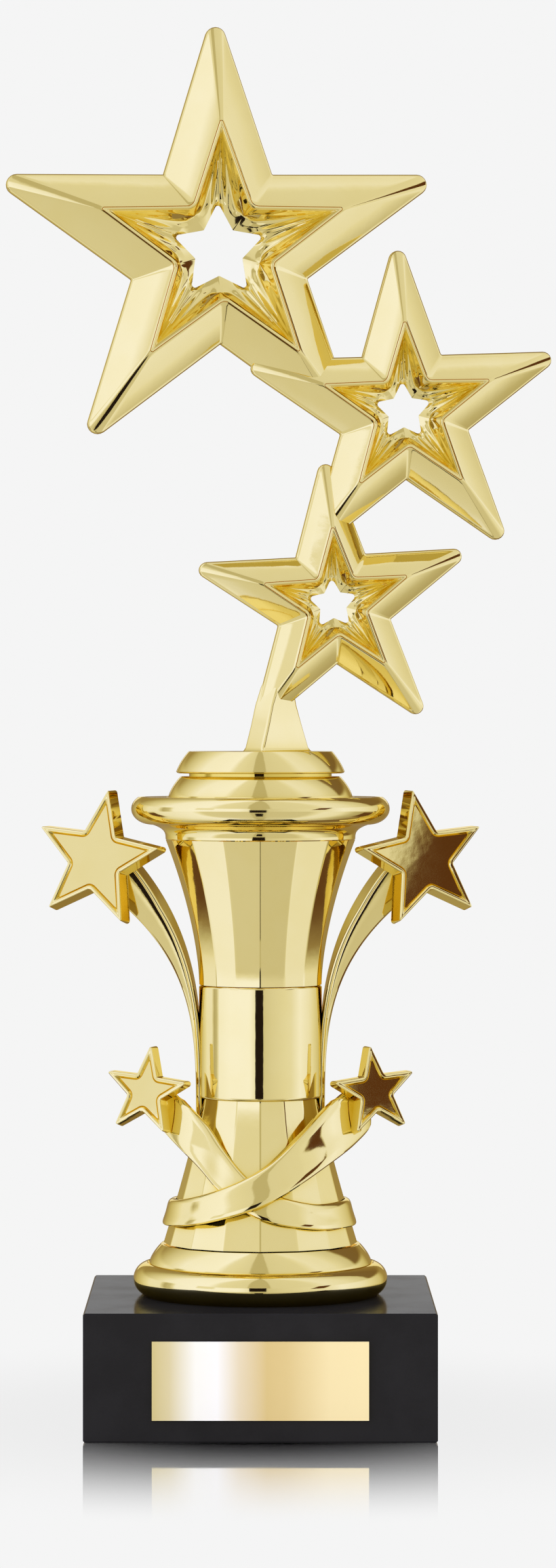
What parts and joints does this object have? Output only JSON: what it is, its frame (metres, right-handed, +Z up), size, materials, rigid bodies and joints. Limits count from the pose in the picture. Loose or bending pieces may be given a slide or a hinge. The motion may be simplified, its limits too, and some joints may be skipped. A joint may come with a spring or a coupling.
{
  "type": "star trophy",
  "caption": "Standing award trophy: gilt hollow column with star arms and crossed ribbons on a square black block, topped by a turning figure of pierced stars.",
  "frame": {"origin": "centre of the felt's underside, on the column's axis, at the surface the trophy stands on", "axes": "+Z up along the column and tie rod; the name plate and the stars' faces look towards -Y; +X to the right as seen from the front"},
  "size_m": [0.1427, 0.0908, 0.3651],
  "materials": {
    "gilt": "vacuum-metallised mirror gold on moulded plastic",
    "block": "polished black",
    "plate": "satin gold anodised",
    "adhesive": "foam tape",
    "felt": "felt",
    "steel": "zinc plated",
    "brass": "machined"
  },
  "bodies": {
    "stand": {"base_block": "block", "base_felt": "felt", "name_plate": "plate", "plate_adhesive": "adhesive", "column_foot": "gilt", "lower_column": "gilt", "ribbon_left": "gilt", "ribbon_right": "gilt", "lower_star_left": "gilt", "lower_star_right": "gilt", "waist_sleeve": "gilt", "upper_column": "gilt", "upper_arm_left": "gilt", "upper_arm_right": "gilt", "upper_star_left": "gilt", "upper_star_right": "gilt", "cup_rim": "gilt", "cup_lid": "gilt", "rod_washer": "steel"},
    "figure": {"figure_foot": "gilt", "figure_stem": "gilt", "small_star_front": "gilt", "small_star_rear": "gilt", "middle_star_front": "gilt", "middle_star_rear": "gilt", "large_star_front": "gilt", "large_star_rear": "gilt", "rod_insert": "brass", "tie_rod": "steel", "rod_nut": "steel"}
  },
  "joints": [
    {"name": "figure_turn", "type": "hinge", "parent": "stand", "child": "figure", "pos_m": [0, 0, 0.1696], "axis": [0, 0, 1], "continuous": true}
  ]
}
